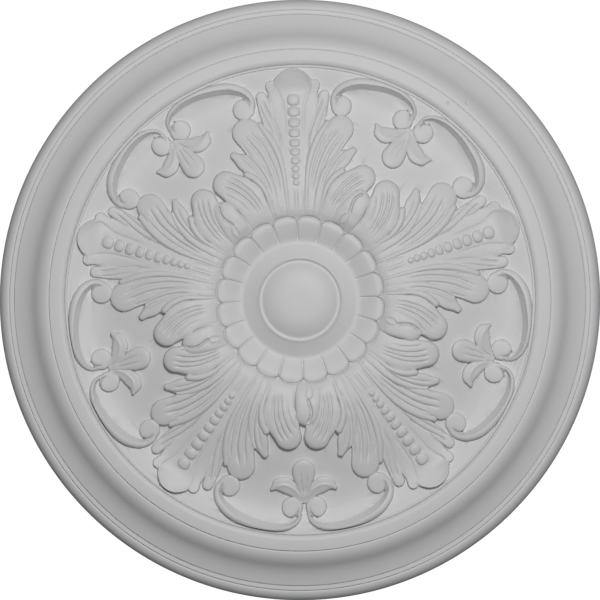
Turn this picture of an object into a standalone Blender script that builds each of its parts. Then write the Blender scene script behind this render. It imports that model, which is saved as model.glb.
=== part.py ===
"""Ceiling rose: one moulded casting with a turned rim, a domed field of leaves, and a ring of petals.

Metres, +Z up. The flat back lies at z = 0 with the origin at its middle, and the carved face looks down.
"""
import math

import bpy
import bmesh
import numpy as np
from mathutils.geometry import interpolate_bezier

# Rim, from the outer wall inwards
ROSE_DIAMETER = 0.430
WALL_HEIGHT = 0.0020
EDGE_ROUND_WIDTH = 0.0074
EDGE_ROUND_HEIGHT = 0.0105
STEP_RUN = 0.0005
STEP_HEIGHT = 0.0014
FILLET_WIDTH = 0.0029
FILLET_RISE = 0.0004
OGEE_WIDTH = 0.0249
OGEE_HEIGHT = 0.0166
OGEE_BEND_WIDTH = 0.0143
OGEE_BEND_HEIGHT = 0.0096
OGEE_FOOT_SLOPE = math.radians(22)
OGEE_BEND_SLOPE = math.radians(52)
OGEE_HEAD_SLOPE = math.radians(4)
BAND_WIDTH = 0.0071
BAND_RISE = 0.0014
COVE_WIDTH = 0.0038
COVE_DEPTH = 0.0025
BEAD_WIDTH = 0.0020
BEAD_HEIGHT = 0.0009

# Field and centre, from the rim inwards
FIELD_RISE = 0.0190
COLLAR_DIP = 0.0005
PETAL_COUNT = 20
PETAL_LENGTH = 0.01815
PETAL_RISE = 0.0050
PETAL_DISH = 0.0006
PETAL_EDGE = 0.0006
PETAL_LIP = 0.0009
PETAL_LIP_WIDTH = 0.0008
RING_WIDTH = 0.0123
RING_FALL = 0.0060
RING_LIP = 0.0004
GROOVE_WIDTH = 0.0022
GROOVE_DEPTH = 0.0013
BOSS_RADIUS = 0.0269
BOSS_RISE = 0.0058

# Shares that shape the rim's curves and the centre's sections
BEND_PULL = 0.36
PETAL_CLIMB = 0.77
PETAL_SIDE_REACH = 0.77
PETAL_ROUNDNESS = 1.35
PETAL_END_POWER = 2.2
GROOVE_WALL = 0.4
BOSS_ROUNDNESS = 3.8

# Carving, drawn on a disc DRAWN_EDGE units in radius, its heights as shares of LEAF_HEIGHT
LEAF_COUNT = 5
LEAF_HEIGHT = 0.0075
DRAWN_PETALS = 84.0
DRAWN_EDGE = 232.3
DRAWN_LEAF_FOOT = 92.0
DRAWN_FLAT = 215.0
BEAD_ROW_START = 200.0
BEAD_ROW_END = 117.4
BEAD_COUNT = 10
EDGE = 1.5
LEAF_FOOT_HEIGHT = 0.2
LEAF_FOOT_START = 82.0
LEAF_FOOT_FADE = 9.0
# How far, in degrees, each leaf and each gap after it stands off its even place
STRAY = (0.4, -0.7, 0.6, 1.5, 0.7, 1.1, 1.7, 0.4, 1.0, -0.3)

# Fineness of the faceted solid
RIM_STEPS = 72
FIELD_STEPS = 480
FIELD_RINGS = 138
ARC_POINTS = 4
BEND_POINTS = 4
SEAM_WIDTH = 0.0005
TRIANGLES_WANTED = 9400

ROSE_RADIUS = ROSE_DIAMETER / 2
RIM_WIDTH = (EDGE_ROUND_WIDTH + 3 * STEP_RUN + FILLET_WIDTH + OGEE_WIDTH
             + BAND_WIDTH + COVE_WIDTH + BEAD_WIDTH)
FIELD_RADIUS = ROSE_RADIUS - RIM_WIDTH
FIELD_LEVEL = (WALL_HEIGHT + EDGE_ROUND_HEIGHT + 3 * STEP_HEIGHT + FILLET_RISE
               + OGEE_HEIGHT + BAND_RISE - COVE_DEPTH)
RING_RADIUS = BOSS_RADIUS + GROOVE_WIDTH
PETAL_FOOT = RING_RADIUS + RING_WIDTH
PETAL_END = PETAL_FOOT + PETAL_LENGTH
SEAM_RADIUS = FIELD_RADIUS - SEAM_WIDTH
PAINT = (0.78, 0.78, 0.77, 1.0)


def smooth(x):
    """Nought to one with level ends."""
    x = np.clip(x, 0.0, 1.0)
    return x * x * (3.0 - 2.0 * x)


def hump(x, power=2.0):
    """A round back: one in the middle, nought at plus and minus one."""
    return np.sqrt(np.clip(1.0 - np.abs(x) ** power, 0.0, 1.0))


def evenly(share, values):
    """Reads values that stand at even steps along a length."""
    values = np.array(values, float)
    place = np.clip(share, 0.0, 1.0) * (len(values) - 1)
    index = np.minimum(place.astype(int), len(values) - 2)
    part = place - index
    part = 0.5 * (part + part * part * (3.0 - 2.0 * part))
    return values[index] * (1.0 - part) + values[index + 1] * part


def curve_through(points, steps=9):
    """A smooth curve through the points, as many short straight pieces."""
    knots = np.array(points, float)
    knots = np.vstack([2 * knots[0] - knots[1], knots, 2 * knots[-1] - knots[-2]])
    t = np.linspace(0.0, 1.0, steps + 1)[:-1, None]
    pieces = []
    for a, b, c, d in zip(knots, knots[1:], knots[2:], knots[3:]):
        pieces.append(0.5 * (2 * b + (c - a) * t + (2 * a - 5 * b + 4 * c - d) * t**2
                             + (3 * b - a - 3 * c + d) * t**3))
    return np.vstack(pieces + [knots[-2:-1]])


def along_and_aside(x, y, curve):
    """Share of the way along the curve and distance aside, to the right positive, for each place."""
    runs = np.diff(curve, axis=0)
    lengths = np.hypot(runs[:, 0], runs[:, 1])
    starts = np.concatenate([[0.0], np.cumsum(lengths)])
    nearest = np.full(x.shape, np.inf)
    along = np.zeros(x.shape)
    aside = np.zeros(x.shape)
    for (x0, y0), run, length, start in zip(curve, runs, lengths, starts):
        forward = np.clip(((x - x0) * run[0] + (y - y0) * run[1]) / length, 0.0, length)
        dx = x - x0 - forward * run[0] / length
        dy = y - y0 - forward * run[1] / length
        distance = dx * dx + dy * dy
        closer = distance < nearest
        side = np.sign((x - x0) * run[1] - (y - y0) * run[0])
        nearest = np.where(closer, distance, nearest)
        along = np.where(closer, start + forward, along)
        aside = np.where(closer, side * np.sqrt(distance), aside)
    return along / starts[-1], aside


def near(x, y, curve, reach):
    """Which places lie within reach of the curve's own box."""
    low = curve.min(axis=0) - reach
    high = curve.max(axis=0) + reach
    return (x > low[0]) & (x < high[0]) & (y > low[1]) & (y < high[1])


def lay_lobe(height, x, y, spine, widths, backs, power, shoulder):
    """Lays a rounded lobe along a spine over the heights, full on its back and lower at its sides."""
    curve = curve_through(spine)
    here = near(x, y, curve, max(widths) + EDGE)
    share, aside = along_and_aside(x[here], y[here], curve)
    half_width = evenly(share, widths)
    across = aside / half_width
    piece = evenly(share, backs) * (shoulder + (1.0 - shoulder) * hump(across, power))
    mask = smooth((half_width - np.abs(aside)) / EDGE + 0.5)
    height[here] = height[here] * (1.0 - mask) + piece * mask


def cut_line(height, x, y, line, width, depth, fade_in=0.15, fade_out=0.15):
    """Cuts a soft groove along a line, fading at its ends; a negative depth raises a soft ridge."""
    curve = curve_through(line)
    here = near(x, y, curve, 2.5 * width)
    share, aside = along_and_aside(x[here], y[here], curve)
    fade = smooth(share / fade_in) * smooth((1.0 - share) / fade_out)
    height[here] -= depth * fade * np.exp(-(aside / width) ** 2)


def lay_scroll(height, x, y):
    """The arm of a C-scroll: a round outer roll, and inside it a slope down to the field."""
    crest = [(42.0, 190.0), (41.8, 198.0), (45.5, 204.8), (54, 210.0), (67, 212.5), (82.5, 210.8),
             (96.5, 207.2), (110, 200.7), (120, 191.5), (123.3, 183.0), (121.7, 176.0)]
    curve = curve_through(crest)
    here = near(x, y, curve, 9.0)
    share, aside = along_and_aside(x[here], y[here], curve)
    roll_width = evenly(share, (3.0, 4.5, 6.0, 6.6, 6.4, 5.8, 5.2, 4.6, 3.8, 3.0, 2.4))
    slope_width = evenly(share, (1.0, 2.5, 5.0, 6.8, 7.4, 7.2, 7.0, 6.6, 5.2, 2.5, 1.0))
    crown = evenly(share, (0.44, 0.56, 0.70, 0.78, 0.80, 0.80, 0.80, 0.76, 0.66, 0.54, 0.44))
    roll = crown * (0.40 + 0.60 * hump(np.clip(aside / roll_width, -1.0, 0.0), 2.4))
    slope = crown * (0.08 + 0.84 * np.clip(1.0 - aside / slope_width, 0.0, 1.0) ** 1.2)
    piece = np.where(aside < 0.0, roll, slope)
    mask = smooth((np.where(aside < 0.0, roll_width + aside, slope_width - aside)) / EDGE + 0.5)
    height[here] = height[here] * (1.0 - mask) + np.maximum(piece, height[here]) * mask


def lay_eye(height, x, y, middle, radius, slit):
    """The round end of a scroll, a low button with the slit where the scroll curls into it."""
    here = near(x, y, np.array([middle]), radius + EDGE)
    out = np.hypot(x[here] - middle[0], y[here] - middle[1])
    piece = 0.42 + 0.16 * hump(out / radius, 2.6)
    mask = smooth((radius - out) / EDGE + 0.5)
    height[here] = height[here] * (1.0 - mask) + piece * mask
    cut_line(height, x, y, slit, 0.7, 0.30, 0.05, 0.5)


def lay_fleur(height, x, y):
    """Three small petals hanging where two scrolls meet."""
    spine = [(1.5, 201.5), (6.5, 193.8), (12.5, 187.2), (18.5, 183.0), (24.0, 183.2)]
    lay_lobe(height, x, y, spine, (1.8, 4.4, 6.8, 8.2, 7.6), (0.30, 0.44, 0.56, 0.62, 0.60), 3.0, 0.54)
    ridge = [(2, 200), (7.5, 191.5), (14, 186.5), (21, 184.5), (30, 187.5)]
    cut_line(height, x, y, ridge, 1.2, -0.09, 0.2, 0.2)
    spine = [(0, 202), (0, 186), (0, 170.5)]
    lay_lobe(height, x, y, spine, (1.6, 4.2, 7.4, 10.2, 11.2), (0.34, 0.50, 0.64, 0.72, 0.68), 3.4, 0.60)
    cut_line(height, x, y, [(1.0, 197), (2.6, 184), (3.4, 168)], 0.9, 0.12, 0.3, 0.4)


def lay_tongue(height, x, y):
    """The long middle of a leaf: a strip for the beads that spreads into a curled round tip."""
    spine = [(0, 76), (0, 150), (0, 212)]
    widths = (6.6, 7.0, 7.4, 7.8, 8.6, 9.0, 9.8, 11.0, 19.4)
    backs = (0.2, 0.22, 0.26, 0.28, 0.30, 0.32, 0.33, 0.36, 0.44)
    lay_lobe(height, x, y, spine, widths, backs, 3.0, 0.84)
    here = near(x, y, np.array([(0.0, 212.0)]), 20.0)
    out = np.hypot(x[here], y[here] - 212.0) / 19.4
    inside = smooth((1.0 - out) * 19.4 / EDGE + 0.5)
    curl = 0.40 * smooth((y[here] - 204.0) / 24.0)
    lip = 0.10 * smooth((out - 0.80) / 0.10) * smooth((y[here] - 200.0) / 10.0)
    height[here] += inside * (curl + lip)
    for line in ([(1.4, 113), (1.4, 104), (1.4, 90)], [(7.3, 113), (7.3, 104), (7.3, 90)]):
        cut_line(height, x, y, line, 0.6, -0.05, 0.2, 0.2)


def lay_shoulders(height, x, y):
    """The two narrow tips on each side of the leaf's tongue."""
    spine = [(9, 76), (11, 122), (15.5, 152), (20.5, 168), (25.5, 182.5), (29, 194), (31.3, 203.8)]
    widths = (3.0, 4.0, 5.0, 5.8, 6.6, 6.9, 5.8)
    lay_lobe(height, x, y, spine, widths, (0.2, 0.24, 0.28, 0.34, 0.40, 0.44, 0.48), 3.4, 0.60)
    for line in ([(30, 199), (26, 191), (21, 181), (16.5, 170), (13.5, 158), (11.5, 140)],
                 [(34, 197), (31, 189), (26.5, 179), (21.5, 168)]):
        cut_line(height, x, y, line, 0.8, 0.10, 0.2, 0.4)
    spine = [(8.2, 76), (9.6, 112), (12, 150), (15, 180), (18.8, 202), (21.7, 214)]
    widths = (1.6, 2.5, 3.5, 4.4, 5.2, 5.5)
    lay_lobe(height, x, y, spine, widths, (0.24, 0.28, 0.34, 0.40, 0.46, 0.54), 3.4, 0.60)


def lay_upper_lobe(height, x, y):
    """The broad side lobe with long flutes, and the narrow roll along its inner edge."""
    spine = [(11, 76), (15.5, 98), (21.5, 119), (29.5, 139), (38.5, 157.0), (47.3, 169.3)]
    widths = (3.0, 6.0, 8.6, 11.0, 12.8, 13.7)
    lay_lobe(height, x, y, spine, widths, (0.22, 0.30, 0.42, 0.54, 0.64, 0.66), 4.0, 0.56)
    for line, width, depth in (
            ([(46.5, 172.5), (40.5, 164), (33.0, 151.5), (26, 136), (20, 116), (15.5, 96)], 1.25, 0.16),
            ([(52.5, 170), (46, 160), (38.0, 147.5), (30.5, 133), (24, 116), (18.5, 98)], 1.0, 0.14),
            ([(36.5, 164.5), (29.5, 151), (23.2, 136), (17.8, 116)], 0.7, 0.09),
            ([(54, 159), (46.5, 149), (38, 136.5), (31.5, 124)], 0.7, 0.08)):
        cut_line(height, x, y, line, width, depth, 0.18, 0.3)
    spine = [(8.6, 80), (9.6, 100), (10.6, 114), (12.5, 130), (15.5, 142.5), (19.6, 153.5),
             (24.6, 163), (30.2, 171), (34.0, 176.2)]
    widths = (1.0, 1.2, 1.5, 1.8, 2.2, 2.6, 2.9, 3.1, 2.6)
    lay_lobe(height, x, y, spine, widths, (0.24, 0.30, 0.38, 0.48, 0.57, 0.64, 0.68, 0.70, 0.66), 2.6, 0.56)


def lay_side_lobe(height, x, y):
    """The narrower lobe below it, with one fold along its upper edge."""
    spine = [(16, 76), (20.5, 92), (25.5, 108), (31, 119.5), (38.5, 130.5), (46.5, 139), (54.0, 145.2)]
    widths = (2.5, 3.2, 4.2, 5.4, 6.8, 7.8, 7.2)
    lay_lobe(height, x, y, spine, widths, (0.22, 0.32, 0.48, 0.62, 0.72, 0.76, 0.74), 3.8, 0.58)
    fold = [(55.5, 149.8), (48, 145.3), (40.5, 138), (34, 129), (28.5, 118), (23.5, 102)]
    cut_line(height, x, y, fold, 1.2, 0.17, 0.2, 0.3)
    flute = [(56.5, 145), (49.5, 139.5), (42, 132), (35, 122.5), (29, 110)]
    cut_line(height, x, y, flute, 0.8, 0.07, 0.2, 0.3)


def lay_foot_lobe(height, x, y, gap_x, gap_y):
    """The highest lobe, which curls over towards the next leaf, and the narrow roll beside it."""
    spine = [(18.5, 74), (19.5, 88), (21.5, 101), (22.0, 114), (18.0, 126), (14.2, 136.2)]
    widths = (10.5, 12.0, 13.5, 15.8, 15.6, 12.9)
    lay_lobe(height, gap_x, gap_y, spine, widths, (0.2, 0.30, 0.54, 0.78, 0.94, 0.98), 4.0, 0.60)
    for line in ([(18.5, 142.5), (24.5, 131.5), (28.2, 118), (28.6, 104), (26.5, 90)],
                 [(13.5, 141), (19.8, 130.5), (24, 117), (24.7, 103), (23.5, 90)],
                 [(9.0, 137.5), (15.2, 127.5), (19.6, 115), (20.9, 102), (20.5, 91)]):
        cut_line(height, gap_x, gap_y, line, 0.9, 0.15, 0.2, 0.25)
    cut_line(height, gap_x, gap_y, [(4.6, 132), (10, 123.5), (14, 112), (15, 98)], 0.7, 0.10, 0.25, 0.3)
    spine = [(21.5, 80), (26.3, 96), (29.3, 107), (34, 115.8), (40.6, 122.8), (47.8, 127.0)]
    widths = (1.0, 1.5, 2.2, 2.8, 3.4, 3.4)
    lay_lobe(height, x, y, spine, widths, (0.22, 0.36, 0.58, 0.78, 0.92, 0.94), 2.6, 0.60)


def lay_folded_leaf(height, gap_x, gap_y):
    """The small leaf between two big ones, creased along a wavy line, with a bud at its foot."""
    spine = [(-7.0, 76), (-6.5, 88), (-5.6, 100), (-4.8, 112), (-4.2, 114.5)]
    widths = (9.0, 11.5, 12.8, 12.4, 11.2)
    lay_lobe(height, gap_x, gap_y, spine, widths, (0.22, 0.42, 0.68, 0.88, 0.94), 3.8, 0.60)
    crease = [(-4.5, 124), (-8, 118), (-9, 111), (-6.5, 102), (-5.6, 97)]
    cut_line(height, gap_x, gap_y, crease, 0.9, 0.26, 0.1, 0.15)
    for line in ([(-6.2, 100), (-4.3, 96), (-4.8, 91), (-8.0, 85.5)],
                 [(-6.6, 100), (-10.0, 96), (-10.6, 91), (-8.4, 85.5)]):
        cut_line(height, gap_x, gap_y, line, 0.6, -0.07, 0.15, 0.15)


def lay_beads(height, x, y):
    """Beads down the middle of a leaf, smaller towards its foot."""
    shrink = np.linspace(0.0, 1.0, BEAD_COUNT)
    middles = BEAD_ROW_START - (BEAD_ROW_START - BEAD_ROW_END) * (1.25 * shrink - 0.25 * shrink**2)
    half_widths = 6.5 - 3.4 * shrink**1.5
    half_lengths = 6.2 - 2.9 * shrink**0.9
    for index in range(BEAD_COUNT):
        here = near(x, y, np.array([(0.0, middles[index])]), 8.0)
        out = np.hypot(x[here] / half_widths[index], (y[here] - middles[index]) / half_lengths[index])
        mask = smooth((1.0 - out) * half_widths[index] / EDGE + 0.5)
        piece = 0.46 - 0.016 * index + (0.28 - 0.012 * index) * hump(out, 3.0)
        height[here] = height[here] * (1.0 - mask) + piece * mask


def straying(turn):
    """How far the carving at each angle stands off its even place."""
    place = turn / (2 * math.pi) * len(STRAY) % len(STRAY)
    index = place.astype(int)
    part = smooth(place - index)
    amounts = np.radians(STRAY)
    return amounts[index] * (1.0 - part) + amounts[(index + 1) % len(STRAY)] * part


def carving(out, turn):
    """Carved height as a share of LEAF_HEIGHT, at a drawn radius and an angle from the first leaf."""
    sector = 2 * math.pi / LEAF_COUNT
    turn = turn - straying(turn)
    from_leaf = (turn + sector / 2) % sector - sector / 2
    from_gap = sector / 2 - np.abs(from_leaf)
    x = out * np.sin(np.abs(from_leaf))
    y = out * np.cos(from_leaf)
    gap_x = out * np.sin(from_gap)
    gap_y = out * np.cos(from_gap)
    height = LEAF_FOOT_HEIGHT * smooth((126.0 - out) / 12.0)
    lay_scroll(height, x, y)
    lay_eye(height, x, y, (49.2, 192.0), 10.4, [(50.5, 203.0), (46, 201), (43.6, 197.5), (43.5, 192)])
    lay_eye(height, gap_x, gap_y, (11.9, 206.8), 10.2, [(14, 217.5), (8.6, 215.2), (6.0, 211), (6.2, 206)])
    lay_fleur(height, gap_x, gap_y)
    lay_shoulders(height, x, y)
    lay_tongue(height, x, y)
    lay_upper_lobe(height, x, y)
    lay_side_lobe(height, x, y)
    lay_foot_lobe(height, x, y, gap_x, gap_y)
    lay_folded_leaf(height, np.where(from_leaf < 0, gap_x, -gap_x), gap_y)
    lay_beads(height, x, y)
    foot = np.clip((out - LEAF_FOOT_START) / LEAF_FOOT_FADE, 0.0, 1.0)
    return height * foot * (2.0 - foot)


def drawn_radius(radius):
    """Where a radius of the rose lies on the drawing, so that the carving fills petals' end to rim."""
    share = (radius - PETAL_END) / (FIELD_RADIUS - PETAL_END)
    return DRAWN_PETALS + share * (DRAWN_EDGE - DRAWN_PETALS)


def ground_height(out):
    """The domed field under the carving, above the back, at a drawn radius."""
    dome = FIELD_RISE * smooth((DRAWN_FLAT - out) / (DRAWN_FLAT - DRAWN_LEAF_FOOT))
    dip = COLLAR_DIP * smooth((DRAWN_LEAF_FOOT - out) / (DRAWN_LEAF_FOOT - DRAWN_PETALS))
    return FIELD_LEVEL + dome - dip


def from_petal_middle(turn):
    """Share of the way from the middle of a petal, nought, to the lip between two petals, one."""
    return 2.0 * np.abs(turn * PETAL_COUNT / (2 * math.pi) % 1.0 - 0.5)


def petal_reach(aside):
    """Share of its length that a petal reaches, at a share aside from its middle."""
    return PETAL_SIDE_REACH + (1.0 - PETAL_SIDE_REACH) * hump(aside, PETAL_END_POWER)


def petal_height(radius, turn, foot_level):
    """Petal ring: each petal climbs outwards from its foot, dished inside a fine lip."""
    share = (radius - PETAL_FOOT) / PETAL_LENGTH
    climb = np.clip(share / PETAL_CLIMB, 0.0, 1.0)
    back = foot_level + PETAL_RISE * (1.0 - (1.0 - climb) ** PETAL_ROUNDNESS)
    aside = from_petal_middle(turn)
    to_side = (1.0 - aside) * math.pi * radius / PETAL_COUNT
    to_end = (petal_reach(aside) - share) * PETAL_LENGTH
    lip = np.exp(-(to_side / PETAL_LIP_WIDTH) ** 2)
    lip = np.maximum(lip, np.exp(-(to_end / PETAL_LIP_WIDTH) ** 2)) * PETAL_LIP
    dish = PETAL_DISH * (1.0 - aside**2)
    return back + (lip - dish) * smooth(share / 0.2)


def centre_height(radius, turn):
    """Boss, groove, ring and petals."""
    foot_level = FIELD_LEVEL + FIELD_RISE - COLLAR_DIP - PETAL_RISE
    ring_level = foot_level + RING_FALL
    boss_level = ring_level - GROOVE_DEPTH + BOSS_RISE
    boss = boss_level - BOSS_RISE * np.clip(radius / BOSS_RADIUS, 0.0, 1.0) ** BOSS_ROUNDNESS
    groove = ring_level - GROOVE_DEPTH * smooth((RING_RADIUS - radius) / (GROOVE_WALL * GROOVE_WIDTH))
    share = np.clip((radius - RING_RADIUS) / RING_WIDTH, 0.0, 1.0)
    ring = ring_level - RING_FALL * share + RING_LIP * np.exp(-(share / 0.07) ** 2)
    height = np.where(radius < BOSS_RADIUS, boss, groove)
    height = np.where(radius > RING_RADIUS, ring, height)
    return np.where(radius > PETAL_FOOT, petal_height(radius, turn, foot_level), height)


def face_height(radius, turn):
    """Height of the whole carved face above the back, inside the rim."""
    out = drawn_radius(radius)
    carved = ground_height(out) + LEAF_HEIGHT * carving(out, turn)
    centre = centre_height(radius, turn)
    along = (radius - PETAL_FOOT) / PETAL_LENGTH
    to_end = (petal_reach(from_petal_middle(turn)) - along) * PETAL_LENGTH
    inside = smooth(to_end / PETAL_EDGE + 0.5)
    return centre * inside + np.where(along > 0.5, carved, centre) * (1.0 - inside)


def arc(points, width, height, start, end, count=ARC_POINTS):
    """Adds part of an ellipse to a profile, inwards from its last point."""
    x, z = points[-1]
    for angle in np.linspace(start, end, count + 1)[1:]:
        inwards = width * (math.cos(start) - math.cos(angle))
        upwards = height * (math.sin(angle) - math.sin(start))
        points.append((x - inwards, z + upwards))


def bend(points, width, height, start_slope, end_slope):
    """Adds a curve inwards and up that leaves and arrives at the given slopes."""
    x, z = points[-1]
    end_x = x - width
    end_z = z + height
    pull = BEND_PULL * math.hypot(width, height)
    first = (x - pull * math.cos(start_slope), z + pull * math.sin(start_slope), 0.0)
    second = (end_x + pull * math.cos(end_slope), end_z - pull * math.sin(end_slope), 0.0)
    curve = interpolate_bezier((x, z, 0.0), first, second, (end_x, end_z, 0.0), BEND_POINTS + 1)
    points.extend((point[0], point[1]) for point in curve[1:])


def slant(points, width, height):
    """Adds a straight piece inwards and up."""
    x, z = points[-1]
    points.append((x - width, z + height))


def rim_profile():
    """Half section of the rim and the back, from the middle of the back round to the field's edge."""
    points = [(0.0, 0.0), (ROSE_RADIUS, 0.0), (ROSE_RADIUS, WALL_HEIGHT)]
    arc(points, EDGE_ROUND_WIDTH, EDGE_ROUND_HEIGHT, 0.0, math.pi / 2)
    slant(points, STEP_RUN, STEP_HEIGHT)
    slant(points, FILLET_WIDTH, FILLET_RISE)
    slant(points, STEP_RUN, STEP_HEIGHT)
    bend(points, OGEE_BEND_WIDTH, OGEE_BEND_HEIGHT, OGEE_FOOT_SLOPE, OGEE_BEND_SLOPE)
    bend(points, OGEE_WIDTH - OGEE_BEND_WIDTH, OGEE_HEIGHT - OGEE_BEND_HEIGHT,
         OGEE_BEND_SLOPE, OGEE_HEAD_SLOPE)
    slant(points, STEP_RUN, STEP_HEIGHT)
    slant(points, BAND_WIDTH, BAND_RISE)
    arc(points, COVE_WIDTH, COVE_DEPTH, math.pi / 2, math.pi)
    arc(points, BEAD_WIDTH / 2, BEAD_HEIGHT, 0.0, math.pi, 3)
    return points


def turned(name, profile, steps):
    """Mesh of a profile of radii and heights, turned round the Z axis, its heights hanging down."""
    mesh = bpy.data.meshes.new(name)
    points = [(radius, 0.0, -height) for radius, height in profile]
    mesh.from_pydata(points, [(i, i + 1) for i in range(len(points) - 1)], [])
    holder = bpy.data.objects.new(name, mesh)
    bpy.context.scene.collection.objects.link(holder)
    screw = holder.modifiers.new("Turn", "SCREW")
    screw.steps = steps
    screw.render_steps = steps
    screw.use_merge_vertices = True
    screw.merge_threshold = 0.00001
    evaluated = holder.evaluated_get(bpy.context.evaluated_depsgraph_get())
    result = bpy.data.meshes.new_from_object(evaluated)
    bpy.data.objects.remove(holder)
    bpy.data.meshes.remove(mesh)
    return result


def carve(mesh):
    """Moves the flat field's points down to the height of the carved face."""
    places = np.empty(len(mesh.vertices) * 3)
    mesh.vertices.foreach_get("co", places)
    places = places.reshape(-1, 3)
    radius = np.hypot(places[:, 0], places[:, 1])
    turn = np.arctan2(places[:, 0], -places[:, 1])
    places[:, 2] = -face_height(radius, turn)
    mesh.vertices.foreach_set("co", places.ravel())


def joined(rim, field):
    """Rim and field sewn together along the seam, as one closed mesh."""
    bm = bmesh.new()
    bm.from_mesh(rim)
    rim_count = len(bm.verts)
    bm.from_mesh(field)
    edges = [edge for edge in bm.edges if edge.is_boundary]
    bmesh.ops.bridge_loops(bm, edges=edges)
    bmesh.ops.triangulate(bm, faces=bm.faces[:])
    bmesh.ops.recalc_face_normals(bm, faces=bm.faces[:])
    mesh = bpy.data.meshes.new("ceiling_rose")
    bm.to_mesh(mesh)
    bm.free()
    return mesh, rim_count


def fewer_faces(rose, rim_count):
    """Thins the carved field's faces to the wanted count and leaves the turned rim as it is."""
    carved = rose.vertex_groups.new(name="carved")
    carved.add(range(rim_count, len(rose.data.vertices)), 1.0, "REPLACE")
    thin = rose.modifiers.new("Fewer faces", "DECIMATE")
    thin.ratio = TRIANGLES_WANTED / len(rose.data.polygons)
    thin.vertex_group = carved.name
    thin.use_collapse_triangulate = True


def primed_paint():
    """Matt off-white primer on moulded foam."""
    paint = bpy.data.materials.new("primed_polyurethane")
    paint.use_nodes = True
    shader = paint.node_tree.nodes["Principled BSDF"]
    shader.inputs["Base Color"].default_value = PAINT
    shader.inputs["Roughness"].default_value = 0.6
    shader.inputs["Metallic"].default_value = 0.0
    return paint


def ceiling_rose(collection):
    """The whole casting as one object."""
    field_line = [(SEAM_RADIUS * index / FIELD_RINGS, 0.0) for index in range(FIELD_RINGS, -1, -1)]
    rim = turned("rim", rim_profile(), RIM_STEPS)
    field = turned("field", field_line, FIELD_STEPS)
    carve(field)
    mesh, rim_count = joined(rim, field)
    mesh.shade_smooth()
    mesh.set_sharp_from_angle(angle=math.radians(35))
    mesh.materials.append(primed_paint())
    rose = bpy.data.objects.new("ceiling_rose", mesh)
    collection.objects.link(rose)
    fewer_faces(rose, rim_count)


def main():
    for item in list(bpy.data.objects):
        bpy.data.objects.remove(item)
    collection = bpy.data.collections.new("ceiling_rose")
    bpy.context.scene.collection.children.link(collection)
    ceiling_rose(collection)


main()
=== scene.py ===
"""Ceiling rose: the finely carved casting in its primer, on a plain pale studio set.

Metres, +Z up. The flat back lies at z = 0 with the origin at its middle, and the carved face looks down.
"""
import math

import bpy
import bmesh
import numpy as np
from bpy.props import FloatProperty, IntProperty, PointerProperty
from mathutils import Matrix, Vector
from mathutils.geometry import interpolate_bezier


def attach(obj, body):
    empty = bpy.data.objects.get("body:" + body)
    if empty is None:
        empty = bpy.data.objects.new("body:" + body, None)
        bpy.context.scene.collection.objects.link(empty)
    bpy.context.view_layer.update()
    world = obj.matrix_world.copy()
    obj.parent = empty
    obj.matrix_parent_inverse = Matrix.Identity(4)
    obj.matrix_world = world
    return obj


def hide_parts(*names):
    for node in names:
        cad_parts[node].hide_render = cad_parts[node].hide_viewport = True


bl_info = {
    "name": "Ceiling Rose",
    "version": (1, 0, 0),
    "blender": (4, 5, 0),
    "location": "View3D > Sidebar > Ceiling Rose",
    "description": "Builds a moulded ceiling rose with its carving, and a studio to see it in",
    "category": "Add Mesh",
}

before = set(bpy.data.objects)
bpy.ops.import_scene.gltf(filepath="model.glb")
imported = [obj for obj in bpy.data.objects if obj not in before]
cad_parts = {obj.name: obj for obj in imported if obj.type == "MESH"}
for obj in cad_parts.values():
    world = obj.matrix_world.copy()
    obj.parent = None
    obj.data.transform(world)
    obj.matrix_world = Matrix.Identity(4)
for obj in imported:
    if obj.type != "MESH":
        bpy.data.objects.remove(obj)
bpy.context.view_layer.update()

# Pull of the double curve's handles, as a share of each half's span
BEND_PULL = 0.36
# Shares of a petal's length where its climb ends, where its sides end, and where its groove is full
PETAL_CLIMB = 0.77
PETAL_SIDE_REACH = 0.73
PETAL_FADE = 0.2
# Powers of a petal's climb, of its round end and of the boss's dome
PETAL_ROUNDNESS = 1.35
PETAL_END_POWER = 2.0
BOSS_ROUNDNESS = 3.8
# Shares that the outer wall takes up of the groove round the boss, and the lip of the sloping ring
GROOVE_WALL = 0.4
RING_LIP_SHARE = 0.07
# Metres that keep the rim and the field apart until they are sewn, and that join a turned line's ends
SEAM_WIDTH = 0.0005
MERGE_DISTANCE = 0.00001
# Places on the back's plane and radii, in metres, of three small casting nicks on the rim
NICKS = (((0.1107, -0.1356, 0.0), 0.0016), ((0.1241, -0.1352, 0.0), 0.0014),
         ((0.1242, -0.1080, 0.0), 0.0010))
NICK_DEPTH = 0.0006
# Faces that meet at more than this stay crisp
SHARP_ANGLE = math.radians(40)
# Points along the rounded outer edge, each half of the double curve, and the cove or the bead inside it
EDGE_ROUND_POINTS = 12
BEND_POINTS = 14
COVE_POINTS = 8
# How far the outer lip of a step's foot groove drops, as a share of the groove
GROOVE_LEAN = 0.2
# Fewest steps, rings or triangles that can be asked for
FEWEST = 24
# Upward parts of the directions between which the surroundings turn from dim grey to white
GLOW_EDGE = 0.965
GLOW_FULL = 0.99

LEAF_COUNT = 5
PETAL_COUNT = 20
# The carving is drawn on a disc DRAWN_EDGE units in radius, and its heights are shares of the leaf height.
# These are the drawn radii of the petals' ends, the leaves' feet, the field's edge, the end of the dome,
# and the start and the lowest place of the hollow before the rim.
DRAWN_PETALS = 84.0
DRAWN_LEAF_FOOT = 92.0
DRAWN_EDGE = 232.3
DRAWN_FLAT = 215.0
DRAWN_HOLLOW = 160.0
DRAWN_LOWEST = 206.0
# Drawn width of the drop at the side of a lobe, and how much deeper fine cuts are than they are drawn
EDGE = 0.7
CUT_STRENGTH = 1.3
# How many of its widths away a cut has faded to nothing
CUT_REACH = 2.5
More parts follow.
